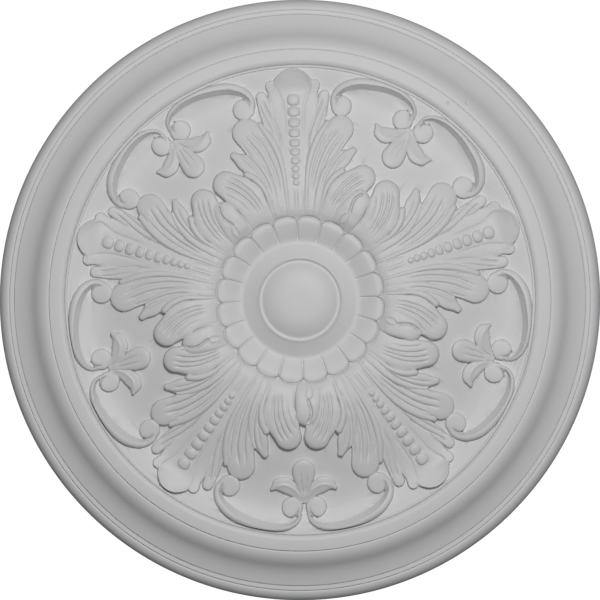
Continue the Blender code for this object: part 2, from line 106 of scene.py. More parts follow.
# The beads down a leaf: the drawn radii of the first and the last, how much closer together they stand
# towards the last, and for the first and the last the half sizes, the side's height and the crown on it
BEAD_COUNT = 10
BEAD_ROW_START = 200.0
BEAD_ROW_END = 117.4
BEAD_CROWDING = 0.31
BEAD_HALF_WIDTHS = (6.3, 3.0)
BEAD_HALF_LENGTHS = (5.8, 3.1)
BEAD_SIDES = (0.47, 0.308)
BEAD_CROWNS = (0.33, 0.204)
BEAD_SQUARENESS = 2.5
# The round tip of a leaf: its middle and radius, its level, how much it curls up, and its lip
TIP_MIDDLE = 212.0
TIP_RADIUS = 19.5
TIP_LEVEL = 0.41
TIP_CURL = 0.24
TIP_LIP = 0.09
# The plate under the leaves' feet: its height, and the drawn radii where it ends and where it is full
LEAF_FOOT_HEIGHT = 0.2
LEAF_FOOT_END = 126.0
LEAF_FOOT_FULL = 114.0
# Drawn radius where all the carving starts, and the width over which it rises there
LEAF_FOOT_START = 82.0
LEAF_FOOT_FADE = 9.0
# How far, in degrees, each leaf and each gap after it stands off its even place
STRAY = (0.4, -0.7, 0.6, 1.5, 0.7, 1.1, 1.7, 0.4, 1.0, -0.3)


def length(name, description, default):
    """A size in metres that can be set in the sidebar."""
    return FloatProperty(name=name, description=description, default=default, min=0.0, precision=4,
                         unit="LENGTH")


def angle(name, description, degrees):
    """An angle that can be set in the sidebar."""
    return FloatProperty(name=name, description=description, default=math.radians(degrees), unit="ROTATION")


def count(name, description, default):
    """A whole number that can be set in the sidebar."""
    return IntProperty(name=name, description=description, default=default, min=FEWEST)


class RoseSizes(bpy.types.PropertyGroup):
    """Sizes of the ceiling rose, from its outer wall inwards."""
    diameter: length("Diameter", "Widest size of the rose, across its flat back", 0.430)
    wall_height: length("Wall", "Height of the straight outer wall", 0.0020)
    edge_round_width: length("Edge round width", "Width of the rounded outer edge", 0.0074)
    edge_round_height: length("Edge round height", "Height of the rounded outer edge", 0.0105)
    step_run: length("Step run", "Width of the slope of each small step", 0.0005)
    step_height: length("Step height", "Height of each small step", 0.0014)
    foot_groove: length("Foot groove", "Depth of the fine groove in the foot of each step", 0.0005)
    fillet_width: length("Fillet width", "Width of the narrow band between the outer steps", 0.0029)
    fillet_rise: length("Fillet rise", "How much the narrow band climbs", 0.0004)
    ogee_width: length("Ogee width", "Width of the long double curve", 0.0249)
    ogee_height: length("Ogee height", "Height of the long double curve", 0.0166)
    ogee_bend_width: length("Ogee bend width", "Width of the double curve up to its bend", 0.0143)
    ogee_bend_height: length("Ogee bend height", "Height of the double curve up to its bend", 0.0096)
    ogee_bend_slope: angle("Ogee bend slope", "Slope of the double curve at its bend", 52)
    ogee_foot_slope: angle("Ogee foot slope", "Slope where the double curve starts", 22)
    ogee_head_slope: angle("Ogee head slope", "Slope where the double curve ends", 4)
    band_width: length("Band width", "Width of the inner band", 0.0071)
    band_rise: length("Band rise", "How much the inner band climbs", 0.0014)
    cove_width: length("Cove width", "Width of the hollow inside the band", 0.0038)
    cove_depth: length("Cove depth", "Depth of the hollow inside the band", 0.0025)
    bead_width: length("Edge bead width", "Width of the fine bead at the field's edge", 0.0020)
    bead_height: length("Edge bead height", "Height of the fine bead at the field's edge", 0.0011)
    field_rise: length("Field rise", "How much the domed field climbs to the petals", 0.0190)
    field_hollow: length("Field hollow", "How far the field dips on its way to the rim", 0.0018)
    leaf_height: length("Leaf height", "How far the highest lobes stand off the field", 0.0075)
    petal_length: length("Petal length", "Length of the petals round the centre", 0.01815)
    petal_rise: length("Petal rise", "How much a petal climbs from its foot", 0.0050)
    petal_dish: length("Petal dish", "How much a petal is hollowed across", 0.0003)
    petal_edge: length("Petal edge", "Width of the drop at a petal's end", 0.0006)
    petal_stand: length("Petal stand", "How far a petal's end stands off the collar", 0.0007)
    petal_groove: length("Petal groove", "Depth of the fine groove round each petal", 0.0018)
    petal_groove_width: length("Petal groove width", "Half width of the groove round each petal", 0.0006)
    foot_bead: length("Foot bead", "Height of the fine bead at the petals' feet", 0.0005)
    foot_bead_width: length("Foot bead width", "Half width of the bead at the petals' feet", 0.0011)
    collar_dip: length("Collar dip", "How far the collar dips at the petals' ends", 0.0005)
    ring_width: length("Ring width", "Width of the sloping ring round the boss", 0.0123)
    ring_fall: length("Ring fall", "How much the sloping ring drops", 0.0060)
    groove_width: length("Groove width", "Width of the groove round the boss", 0.0022)
    groove_depth: length("Groove depth", "Depth of the groove round the boss", 0.0013)
    ring_lip: length("Ring lip", "Height of the crisp lip round the groove", 0.0004)
    boss_radius: length("Boss radius", "Radius of the plain boss", 0.0269)
    boss_rise: length("Boss rise", "How much the boss is domed", 0.0058)
    rim_steps: count("Rim steps", "Steps round the turned rim", 360)
    field_steps: count("Field steps", "Steps round the carved field", 1800)
    field_rings: count("Field rings", "Rings across the carved field", 400)
    triangles: count("Triangles", "Triangles kept in the finished mesh", 190000)


class StudioSettings(bpy.types.PropertyGroup):
    """Camera, light and floor round the rose."""
    lens: FloatProperty(name="Lens", description="Focal length of the camera, in mm", default=400.0)
    camera_distance: length("Camera distance", "How far under the rose the camera stands", 4.775)
    camera_roll: angle("Camera roll", "Turn of the camera about its own axis", 2.3)
    floor_depth: length("Floor depth", "How far the floor lies under the rose", 5.2)
    floor_size: length("Floor size", "Side of the square floor", 60.0)
    key_distance: length("Key distance", "How far the main light stands from the rose", 3.6)
    key_size: length("Key size", "Side of the square main light", 0.5)
    key_angle: angle("Key angle", "Turn of the main light away from the camera's axis", 17)
    key_turn: angle("Key turn", "Direction of the main light in the picture, from its right", 69)
    key_power: FloatProperty(name="Key power", description="Power of the main light, in W", default=74.0)
    back_distance: length("Back distance", "How far the light for the flat back stands above it", 3.0)
    back_size: length("Back size", "Side of the square light above the back", 0.3)
    back_power: FloatProperty(name="Back power", description="Power of the light above, in W", default=50.0)
    overhead: FloatProperty(name="Overhead", description="Brightness straight above", default=1.05)
    around: FloatProperty(name="Around", description="Brightness of the other surroundings", default=0.12)


def field_radius(sizes):
    """Radius where the rim ends and the carved field starts."""
    rim_width = (sizes.edge_round_width + 3 * sizes.step_run + sizes.fillet_width + sizes.ogee_width
                 + sizes.band_width + sizes.cove_width + sizes.bead_width)
    return sizes.diameter / 2 - rim_width


def field_level(sizes):
    """Height of the field's edge above the back."""
    return (sizes.wall_height + sizes.edge_round_height + 3 * sizes.step_height + sizes.fillet_rise
            + sizes.ogee_height + sizes.band_rise - sizes.cove_depth)


def smooth(x):
    """Nought to one with level ends."""
    x = np.clip(x, 0.0, 1.0)
    return x * x * (3.0 - 2.0 * x)


def ramp(x, start, end):
    """Nought to one with level ends, from the start to the end."""
    return smooth((x - start) / (end - start))


def hump(x, power):
    """A round back: one in the middle, nought at plus and minus one."""
    return np.sqrt(np.clip(1.0 - np.abs(x) ** power, 0.0, 1.0))


def evenly(share, values):
    """Reads values that stand at even steps along a length, half way between straight and smooth."""
    values = np.array(values, float)
    place = np.clip(share, 0.0, 1.0) * (len(values) - 1)
    index = np.minimum(place.astype(int), len(values) - 2)
    part = place - index
    part = 0.5 * (part + part * part * (3.0 - 2.0 * part))
    return values[index] * (1.0 - part) + values[index + 1] * part


def curve_through(points, steps=9):
    """A smooth curve through the points, as many short straight pieces."""
    knots = np.array(points, float)
    knots = np.vstack([2 * knots[0] - knots[1], knots, 2 * knots[-1] - knots[-2]])
    t = np.linspace(0.0, 1.0, steps + 1)[:-1, None]
    pieces = []
    for a, b, c, d in zip(knots, knots[1:], knots[2:], knots[3:]):
        pieces.append(0.5 * (2 * b + (c - a) * t + (2 * a - 5 * b + 4 * c - d) * t**2
                             + (3 * b - a - 3 * c + d) * t**3))
    return np.vstack(pieces + [knots[-2:-1]])


def along_and_aside(x, y, curve):
    """Share of the way along the curve and distance aside, to the right positive, for each place."""
    runs = np.diff(curve, axis=0)
    lengths = np.hypot(runs[:, 0], runs[:, 1])
    starts = np.concatenate([[0.0], np.cumsum(lengths)])
    nearest = np.full(x.shape, np.inf)
    along = np.zeros(x.shape)
    aside = np.zeros(x.shape)
    for (x0, y0), run, size, start in zip(curve, runs, lengths, starts):
        forward = np.clip(((x - x0) * run[0] + (y - y0) * run[1]) / size, 0.0, size)
        dx = x - x0 - forward * run[0] / size
        dy = y - y0 - forward * run[1] / size
        distance = dx * dx + dy * dy
        closer = distance < nearest
        side = np.sign((x - x0) * run[1] - (y - y0) * run[0])
        nearest = np.where(closer, distance, nearest)
        along = np.where(closer, start + forward, along)
        aside = np.where(closer, side * np.sqrt(distance), aside)
    return along / starts[-1], aside


def near(x, y, curve, reach):
    """Which places lie within reach of the curve's own box."""
    low = curve.min(axis=0) - reach
    high = curve.max(axis=0) + reach
    return (x > low[0]) & (x < high[0]) & (y > low[1]) & (y < high[1])


def lay_lobe(height, x, y, spine, widths, backs, power, shoulder):
    """Lays a rounded lobe along a spine over the heights, full on its back and lower at its sides."""
    curve = curve_through(spine)
    here = near(x, y, curve, max(widths) + EDGE)
    share, aside = along_and_aside(x[here], y[here], curve)
    half_width = evenly(share, widths)
    across = aside / half_width
    piece = evenly(share, backs) * (shoulder + (1.0 - shoulder) * hump(across, power))
    mask = smooth((half_width - np.abs(aside)) / EDGE + 0.5)
    height[here] = height[here] * (1.0 - mask) + piece * mask


def cut_line(height, x, y, line, width, depth, fade_in, fade_out):
    """Cuts a soft groove along a line, fading at its ends; a negative depth raises a soft ridge."""
    curve = curve_through(line)
    here = near(x, y, curve, CUT_REACH * width)
    share, aside = along_and_aside(x[here], y[here], curve)
    fade = smooth(share / fade_in) * smooth((1.0 - share) / fade_out)
    height[here] -= CUT_STRENGTH * depth * fade * np.exp(-(aside / width) ** 2)


def lay_scroll(height, x, y):
    """The arm of a C-scroll: a round outer roll, and inside it a slope down to the field."""
    crest = [(42.0, 190.0), (41.8, 198.0), (45.5, 204.8), (54, 210.0), (67, 212.5), (82.5, 210.8),
             (96.5, 207.2), (110, 200.7), (120, 191.5), (123.3, 183.0), (121.7, 176.0)]
    curve = curve_through(crest)
    roll_widths = (3.0, 4.5, 6.0, 6.6, 6.4, 5.8, 5.2, 4.6, 3.8, 3.0, 2.4)
    here = near(x, y, curve, max(roll_widths) + EDGE)
    share, aside = along_and_aside(x[here], y[here], curve)
    roll_width = evenly(share, roll_widths)
    slope_width = evenly(share, (1.0, 2.0, 3.3, 4.3, 4.7, 4.6, 4.4, 4.2, 3.5, 2.0, 1.0))
    crown = evenly(share, (0.44, 0.56, 0.70, 0.78, 0.80, 0.80, 0.80, 0.76, 0.66, 0.54, 0.44))
    roll_side, slope_foot, slope_head = 0.40, 0.22, 0.92
    round_back = hump(np.clip(aside / roll_width, -1.0, 0.0), power=2.4)
    roll = crown * (roll_side + (1.0 - roll_side) * round_back)
    falling = np.clip(1.0 - aside / slope_width, 0.0, 1.0) ** 1.2
    slope = crown * (slope_foot + (slope_head - slope_foot) * falling)
    piece = np.where(aside < 0.0, roll, slope)
    mask = smooth((np.where(aside < 0.0, roll_width + aside, slope_width - aside)) / EDGE + 0.5)
    height[here] = height[here] * (1.0 - mask) + np.maximum(piece, height[here]) * mask


def lay_eye(height, x, y, middle, radius, slit):
    """The round end of a scroll, a low button with the slit where the scroll curls into it."""
    here = near(x, y, np.array([middle]), radius + EDGE)
    out = np.hypot(x[here] - middle[0], y[here] - middle[1])
    side, crown = 0.42, 0.58
    piece = side + (crown - side) * hump(out / radius, power=2.6)
    mask = smooth((radius - out) / EDGE + 0.5)
    height[here] = height[here] * (1.0 - mask) + piece * mask
    cut_line(height, x, y, slit, width=0.7, depth=0.30, fade_in=0.05, fade_out=0.5)


def lay_fleur(height, x, y):
    """Three small petals hanging where two scrolls meet."""
    spine = [(1.5, 201.5), (7.0, 194.0), (13.0, 188.0), (19.5, 184.3), (26.0, 184.6), (31.6, 188.2)]
    backs = (0.30, 0.44, 0.56, 0.62, 0.62, 0.58)
    lay_lobe(height, x, y, spine, (1.8, 4.2, 6.6, 8.1, 6.6, 1.8), backs, power=3.0, shoulder=0.58)
    ridge = [(2, 200), (7.5, 191.5), (14, 186.5), (21, 184.5), (30, 187.5)]
    cut_line(height, x, y, ridge, width=1.2, depth=-0.09, fade_in=0.2, fade_out=0.2)
    spine = [(0, 202), (0, 186), (0, 170.5)]
    backs = (0.34, 0.50, 0.64, 0.72, 0.68)
    lay_lobe(height, x, y, spine, (1.6, 4.2, 7.4, 10.2, 11.2), backs, power=3.4, shoulder=0.60)
    flute = [(1.0, 197), (2.6, 184), (3.4, 168)]
    cut_line(height, x, y, flute, width=0.9, depth=0.12, fade_in=0.3, fade_out=0.4)


def lay_tongue(height, x, y):
    """The long middle blade of a leaf, which widens to a curled round tip with a point on each side."""
    widths = (8.0, 8.6, 9.4, 10.4, 12.0, 15.6, 22.0, 25.0)
    backs = (0.2, 0.24, 0.28, 0.31, 0.34, 0.37, 0.40, 0.42)
    lay_lobe(height, x, y, [(0, 76), (0, 140), (0, 204)], widths, backs, power=4.0, shoulder=0.78)
    spine = [(15.5, 190), (19.0, 204), (21.8, 214.3)]
    lay_lobe(height, x, y, spine, (2.0, 4.4, 5.4), (0.40, 0.42, 0.50), power=4.0, shoulder=0.94)
    here = near(x, y, np.array([(0.0, TIP_MIDDLE)]), TIP_RADIUS + 2 * EDGE)
    out = np.hypot(x[here], y[here] - TIP_MIDDLE)
    curl = TIP_CURL * ramp(y[here], start=208.0, end=230.0)
    piece = TIP_LEVEL + curl + TIP_LIP * ramp(out, start=16.8, end=18.2)
    mask = smooth((TIP_RADIUS - out) / EDGE + 0.5) * ramp(y[here], start=201.0, end=217.0)
    height[here] = height[here] * (1.0 - mask) + piece * mask
    for line in ([(1.4, 113), (1.4, 104), (1.4, 90)], [(7.3, 113), (7.3, 104), (7.3, 90)]):
        cut_line(height, x, y, line, width=0.6, depth=-0.05, fade_in=0.2, fade_out=0.2)
    soft = [(19.5, 217), (16, 210), (13, 203), (10.8, 195.5), (9.5, 180), (8.5, 160)]
    cut_line(height, x, y, soft, width=1.2, depth=0.09, fade_in=0.1, fade_out=0.3)
    sharp = [(30.5, 201), (26.5, 191), (21, 180.5), (16.5, 169), (14, 158), (12.2, 140)]
    cut_line(height, x, y, sharp, width=0.8, depth=0.17, fade_in=0.08, fade_out=0.35)


def lay_outer_blade(height, x, y):
    """The narrow blade beside the leaf's middle one, with a fine fold down it."""
    spine = [(9, 76), (11, 122), (15.5, 152), (20.5, 168), (25.5, 182.5), (29, 194), (31.6, 203.8)]
    widths = (3.0, 4.0, 5.0, 5.8, 6.6, 6.9, 5.4)
    backs = (0.2, 0.24, 0.28, 0.34, 0.40, 0.44, 0.50)
    lay_lobe(height, x, y, spine, widths, backs, power=4.0, shoulder=0.72)
    fold = [(34.5, 198), (31.5, 189), (26.8, 179), (21.8, 168), (18.5, 158)]
    cut_line(height, x, y, fold, width=0.8, depth=0.13, fade_in=0.15, fade_out=0.4)


def lay_upper_lobe(height, x, y):
    """The broad side lobe with long flutes, and the narrow roll along its inner edge."""
    spine = [(11, 76), (15.5, 98), (21.5, 119), (29.5, 139), (38.5, 157.0), (47.3, 169.3)]
    widths = (3.0, 6.0, 8.6, 11.0, 12.8, 13.7)
    lay_lobe(height, x, y, spine, widths, (0.22, 0.30, 0.42, 0.54, 0.62, 0.64), power=4.0, shoulder=0.68)
    for line, width, depth in (
            ([(47.5, 172), (40, 164.5), (32.5, 155.5), (25.5, 142), (19.5, 126), (15, 104)], 1.3, 0.22),
            ([(52, 168), (44, 158), (35.5, 147), (28.5, 133), (22, 114), (17.5, 96)], 1.2, 0.20),
            ([(53.5, 160), (47.5, 151), (39.5, 139.5), (32.5, 127), (27, 114)], 0.8, 0.10),
            ([(40.5, 170), (34.5, 162.5), (28.5, 153), (23, 141)], 0.7, 0.06)):
        cut_line(height, x, y, line, width, depth, fade_in=0.18, fade_out=0.3)
    spine = [(8.6, 80), (9.6, 100), (10.6, 114), (12.5, 130), (15.5, 142.5), (19.6, 153.5),
             (24.6, 163), (30.2, 171), (34.0, 176.2)]
    widths = (1.0, 1.3, 1.7, 2.2, 2.7, 3.1, 3.4, 3.4, 2.6)
    backs = (0.24, 0.30, 0.38, 0.48, 0.57, 0.64, 0.68, 0.70, 0.66)
    lay_lobe(height, x, y, spine, widths, backs, power=2.6, shoulder=0.56)
    beside = [(36.5, 171), (30, 162.5), (24.5, 153), (19.5, 142), (15.5, 128), (12.5, 110)]
    cut_line(height, x, y, beside, width=0.8, depth=0.13, fade_in=0.2, fade_out=0.3)


def lay_side_lobe(height, x, y):
    """The narrower lobe below it, with a fold along its upper edge and a flute beside that."""
    spine = [(16, 76), (20.5, 92), (25.5, 108), (31, 119.2), (38.5, 129.4), (46.5, 137.2), (54, 142.4),
             (60, 146.4)]
    widths = (2.5, 3.4, 4.6, 6.2, 8.0, 8.8, 8.0, 3.4)
    backs = (0.22, 0.32, 0.46, 0.58, 0.66, 0.70, 0.70, 0.64)
    lay_lobe(height, x, y, spine, widths, backs, power=4.0, shoulder=0.70)
    fold = [(55.5, 149.8), (48, 145.3), (40.5, 138), (34, 129), (28.5, 118), (23.5, 102)]
    cut_line(height, x, y, fold, width=1.2, depth=0.22, fade_in=0.2, fade_out=0.3)
    flute = [(56.5, 145), (49.5, 139.5), (42, 132), (35, 122.5), (29, 110)]
    cut_line(height, x, y, flute, width=0.8, depth=0.10, fade_in=0.2, fade_out=0.3)


def lay_foot_lobe(height, x, y, gap_x, gap_y):
    """The highest lobe, which curls over towards the next leaf, and the narrow roll beside it."""
    spine = [(18.5, 74), (19.5, 88), (21.5, 101), (22.0, 114), (18.0, 126), (14.2, 136.2)]
    widths = (10.5, 12.0, 13.5, 15.8, 15.6, 12.9)
    backs = (0.2, 0.30, 0.52, 0.74, 0.88, 0.92)
    lay_lobe(height, gap_x, gap_y, spine, widths, backs, power=4.0, shoulder=0.68)
    for line in ([(18.5, 142.5), (24.5, 131.5), (28.2, 118), (28.6, 104), (26.5, 90)],
                 [(13.5, 141), (19.8, 130.5), (24, 117), (24.7, 103), (23.5, 90)],
                 [(9.0, 137.5), (15.2, 127.5), (19.6, 115), (20.9, 102), (20.5, 91)]):
        cut_line(height, gap_x, gap_y, line, width=0.9, depth=0.20, fade_in=0.2, fade_out=0.25)
    flute = [(4.6, 132), (10, 123.5), (14, 112), (15, 98)]
    cut_line(height, gap_x, gap_y, flute, width=0.7, depth=0.10, fade_in=0.25, fade_out=0.3)
    spine = [(21.5, 80), (26.3, 96), (29.3, 107), (34, 115.8), (40.6, 122.8), (47.8, 127.0)]
    widths = (1.0, 1.5, 2.2, 2.8, 3.4, 3.4)
    lay_lobe(height, x, y, spine, widths, (0.22, 0.36, 0.58, 0.78, 0.92, 0.94), power=2.6, shoulder=0.60)


def lay_folded_leaf(height, gap_x, gap_y):
    """The small leaf between two big ones, creased along a wavy line, with a bud at its foot."""
    spine = [(-7.0, 76), (-6.5, 88), (-5.6, 100), (-4.8, 112), (-4.2, 114.5)]
    widths = (9.0, 11.5, 12.8, 12.4, 11.2)
    lay_lobe(height, gap_x, gap_y, spine, widths, (0.22, 0.42, 0.68, 0.88, 0.94), power=3.8, shoulder=0.60)
    crease = [(-4.5, 124), (-8, 118), (-9, 111), (-6.5, 102), (-5.6, 97)]
    cut_line(height, gap_x, gap_y, crease, width=1.0, depth=0.34, fade_in=0.1, fade_out=0.15)
    for line in ([(-6.2, 100), (-4.3, 96), (-4.8, 91), (-8.0, 85.5)],
                 [(-6.6, 100), (-10.0, 96), (-10.6, 91), (-8.4, 85.5)]):
        cut_line(height, gap_x, gap_y, line, width=0.6, depth=-0.07, fade_in=0.15, fade_out=0.15)


def lay_beads(height, x, y):
    """Beads down the middle of a leaf, smaller towards its foot."""
    place = np.linspace(0.0, 1.0, BEAD_COUNT)
    along_row = (1.0 + BEAD_CROWDING) * place - BEAD_CROWDING * place**2
    middles = BEAD_ROW_START + (BEAD_ROW_END - BEAD_ROW_START) * along_row
    half_widths = BEAD_HALF_WIDTHS[0] + (BEAD_HALF_WIDTHS[1] - BEAD_HALF_WIDTHS[0]) * place**1.5
    half_lengths = BEAD_HALF_LENGTHS[0] + (BEAD_HALF_LENGTHS[1] - BEAD_HALF_LENGTHS[0]) * place**0.7
    sides = np.linspace(*BEAD_SIDES, BEAD_COUNT)
    crowns = np.linspace(*BEAD_CROWNS, BEAD_COUNT)
    beads = zip(middles, half_widths, half_lengths, sides, crowns)
    for middle, half_width, half_length, side, crown in beads:
        here = near(x, y, np.array([(0.0, middle)]), half_width + 2 * EDGE)
        across = np.abs(x[here]) / half_width
        along = np.abs(y[here] - middle) / half_length
        out = (across**BEAD_SQUARENESS + along**BEAD_SQUARENESS) ** (1.0 / BEAD_SQUARENESS)
        mask = smooth((1.0 - out) * half_width / EDGE + 0.5)
        height[here] = height[here] * (1.0 - mask) + (side + crown * hump(out, power=3.0)) * mask


def straying(turn):
    """How far the carving at each angle stands off its even place."""
    place = turn / (2 * math.pi) * len(STRAY) % len(STRAY)
    index = place.astype(int)
    part = smooth(place - index)
    amounts = np.radians(STRAY)
    return amounts[index] * (1.0 - part) + amounts[(index + 1) % len(STRAY)] * part


def carving(out, turn):
    """Carved height as a share of the leaf height, at a drawn radius and an angle from the first leaf."""
    sector = 2 * math.pi / LEAF_COUNT
    turn = turn - straying(turn)
    from_leaf = (turn + sector / 2) % sector - sector / 2
    from_gap = sector / 2 - np.abs(from_leaf)
    x = out * np.sin(np.abs(from_leaf))
    y = out * np.cos(from_leaf)
    gap_x = out * np.sin(from_gap)
    gap_y = out * np.cos(from_gap)
    height = LEAF_FOOT_HEIGHT * ramp(out, LEAF_FOOT_END, LEAF_FOOT_FULL)
    lay_scroll(height, x, y)
    slit = [(50.5, 203.0), (46, 201), (43.6, 197.5), (43.5, 192)]
    lay_eye(height, x, y, middle=(49.2, 192.0), radius=10.4, slit=slit)
    slit = [(14, 217.5), (8.6, 215.2), (6.0, 211), (6.2, 206)]
    lay_eye(height, gap_x, gap_y, middle=(11.9, 206.8), radius=10.2, slit=slit)
    lay_fleur(height, gap_x, gap_y)
    lay_outer_blade(height, x, y)
    lay_tongue(height, x, y)
    lay_upper_lobe(height, x, y)
    lay_side_lobe(height, x, y)
    lay_foot_lobe(height, x, y, gap_x, gap_y)
    lay_folded_leaf(height, np.where(from_leaf < 0, gap_x, -gap_x), gap_y)
    lay_beads(height, x, y)
    foot = np.clip((out - LEAF_FOOT_START) / LEAF_FOOT_FADE, 0.0, 1.0)
    return height * foot * (2.0 - foot)


def ground_height(sizes, out):
    """The domed field under the carving, above the back, at a drawn radius."""
    dome = sizes.field_rise * smooth((DRAWN_FLAT - out) / (DRAWN_FLAT - DRAWN_LEAF_FOOT))
    dip = sizes.collar_dip * smooth((DRAWN_LEAF_FOOT - out) / (DRAWN_LEAF_FOOT - DRAWN_PETALS))
    hollow = smooth((DRAWN_EDGE - out) / (DRAWN_EDGE - DRAWN_LOWEST))
    hollow = hollow * smooth((out - DRAWN_HOLLOW) / (DRAWN_LOWEST - DRAWN_HOLLOW))
    return field_level(sizes) + dome - dip - sizes.field_hollow * hollow


def from_petal_middle(turn):
    """Share of the way from the middle of a petal, nought, to the groove between two petals, one."""
    return 2.0 * np.abs(turn * PETAL_COUNT / (2 * math.pi) % 1.0 - 0.5)


def petal_height(sizes, radius, turn, foot_level):
    """Petal ring: each petal climbs outwards from its foot, with a fine groove round it."""
    share = (radius - sizes.boss_radius - sizes.groove_width - sizes.ring_width) / sizes.petal_length
    climb = np.clip(share / PETAL_CLIMB, 0.0, 1.0)
    rise = sizes.petal_rise + sizes.petal_stand
    back = foot_level + rise * (1.0 - (1.0 - climb) ** PETAL_ROUNDNESS)
    aside = from_petal_middle(turn)
    to_side = (1.0 - aside) * math.pi * radius / PETAL_COUNT
    to_end = (petal_reach(aside) - share) * sizes.petal_length
    nearest = np.minimum(np.abs(to_side), np.abs(to_end))
    groove = sizes.petal_groove * np.exp(-((nearest / sizes.petal_groove_width) ** 2))
    dish = sizes.petal_dish * (1.0 - aside**2)
    bead = sizes.foot_bead * np.exp(-((share * sizes.petal_length / sizes.foot_bead_width) ** 2))
    return back + bead - (groove + dish) * smooth(share / PETAL_FADE)


def petal_reach(aside):
    """Share of its length that a petal reaches, at a share aside from its middle."""
    return PETAL_SIDE_REACH + (1.0 - PETAL_SIDE_REACH) * hump(aside, PETAL_END_POWER)


def centre_height(sizes, radius, turn):
    """Boss, groove, ring and petals."""
    ring_radius = sizes.boss_radius + sizes.groove_width
    petal_foot = ring_radius + sizes.ring_width
    foot_level = field_level(sizes) + sizes.field_rise - sizes.collar_dip - sizes.petal_rise
    ring_level = foot_level + sizes.ring_fall
    boss_level = ring_level - sizes.groove_depth + sizes.boss_rise
    boss = boss_level - sizes.boss_rise * np.clip(radius / sizes.boss_radius, 0.0, 1.0) ** BOSS_ROUNDNESS
    wall = smooth((ring_radius - radius) / (GROOVE_WALL * sizes.groove_width))
    groove = ring_level - sizes.groove_depth * wall
    share = np.clip((radius - ring_radius) / sizes.ring_width, 0.0, 1.0)
    ring = ring_level - sizes.ring_fall * share
    ring = ring + sizes.ring_lip * np.exp(-(share / RING_LIP_SHARE) ** 2)
    to_foot = (1.0 - share) * sizes.ring_width
    ring = ring + sizes.foot_bead * np.exp(-((to_foot / sizes.foot_bead_width) ** 2))
    height = np.where(radius < sizes.boss_radius, boss, groove)
    height = np.where(radius > ring_radius, ring, height)
    return np.where(radius > petal_foot, petal_height(sizes, radius, turn, foot_level), height)


def face_height(sizes, radius, turn):
    """Height of the whole carved face above the back, inside the rim."""
    petal_foot = sizes.boss_radius + sizes.groove_width + sizes.ring_width
    petal_end = petal_foot + sizes.petal_length
    share = (radius - petal_end) / (field_radius(sizes) - petal_end)
    out = DRAWN_PETALS + share * (DRAWN_EDGE - DRAWN_PETALS)
    carved = ground_height(sizes, out) + sizes.leaf_height * carving(out, turn)
    centre = centre_height(sizes, radius, turn)
    along = (radius - petal_foot) / sizes.petal_length
    reach = petal_reach(from_petal_middle(turn))
    beyond = (along - reach) * sizes.petal_length
    carved = carved - sizes.petal_groove * np.exp(-((beyond / sizes.petal_groove_width) ** 2))
    inside = smooth(0.5 - beyond / sizes.petal_edge)
    return centre * inside + np.where(along > 0.5, carved, centre) * (1.0 - inside)


def arc(points, width, height, start, end, pieces):
    """Adds part of an ellipse to a profile, inwards from its last point."""
    x, z = points[-1]
    for turn in np.linspace(start, end, pieces + 1)[1:]:
        inwards = width * (math.cos(start) - math.cos(turn))
        upwards = height * (math.sin(turn) - math.sin(start))
        points.append((x - inwards, z + upwards))


def bend(points, width, height, start_slope, end_slope, pieces):
    """Adds a curve inwards and up that leaves and arrives at the given slopes."""
    x, z = points[-1]
    end_x = x - width
    end_z = z + height
    pull = BEND_PULL * math.hypot(width, height)
    first = (x - pull * math.cos(start_slope), z + pull * math.sin(start_slope), 0.0)
    second = (end_x + pull * math.cos(end_slope), end_z - pull * math.sin(end_slope), 0.0)
    curve = interpolate_bezier((x, z, 0.0), first, second, (end_x, end_z, 0.0), pieces + 1)
    points.extend((point[0], point[1]) for point in curve[1:])


def rim_profile(sizes):
    """Half section of the rim and the back, from the middle of the back round to the field's edge."""
    points = [(0.0, 0.0), (sizes.diameter / 2, 0.0), (sizes.diameter / 2, sizes.wall_height)]
    arc(points, sizes.edge_round_width, sizes.edge_round_height, 0.0, math.pi / 2, EDGE_ROUND_POINTS)
    step(points, sizes)
    points.append((points[-1][0] - sizes.fillet_width, points[-1][1] + sizes.fillet_rise))
    step(points, sizes)
    bend(points, sizes.ogee_bend_width, sizes.ogee_bend_height,
         sizes.ogee_foot_slope, sizes.ogee_bend_slope, BEND_POINTS)
    bend(points, sizes.ogee_width - sizes.ogee_bend_width, sizes.ogee_height - sizes.ogee_bend_height,
         sizes.ogee_bend_slope, sizes.ogee_head_slope, BEND_POINTS)
    step(points, sizes)
    points.append((points[-1][0] - sizes.band_width, points[-1][1] + sizes.band_rise))
    arc(points, sizes.cove_width, sizes.cove_depth, math.pi / 2, math.pi, COVE_POINTS)
    arc(points, sizes.bead_width / 2, sizes.bead_height, 0.0, math.pi, COVE_POINTS)
    return points


def step(points, sizes):
    """Adds a small step inwards and up, with a fine groove in its foot."""
    x, z = points[-1]
    points[-1] = (x + sizes.foot_groove, z - sizes.foot_groove * GROOVE_LEAN)
    points.append((x, z - sizes.foot_groove))
    points.append((x - sizes.step_run, z + sizes.step_height))


def turned(name, profile, steps):
    """Mesh of a profile of radii and heights, turned round the Z axis, its heights hanging down."""
    mesh = bpy.data.meshes.new(name)
    points = [(radius, 0.0, -height) for radius, height in profile]
    mesh.from_pydata(points, [(i, i + 1) for i in range(len(points) - 1)], [])
    holder = bpy.data.objects.new(name, mesh)
    bpy.context.scene.collection.objects.link(holder)
    screw = holder.modifiers.new("Turn", "SCREW")
    screw.steps = steps
    screw.render_steps = steps
    screw.use_merge_vertices = True
    screw.merge_threshold = MERGE_DISTANCE
    result = bpy.data.meshes.new_from_object(holder.evaluated_get(bpy.context.evaluated_depsgraph_get()))
    bpy.data.objects.remove(holder)
    bpy.data.meshes.remove(mesh)
    return result


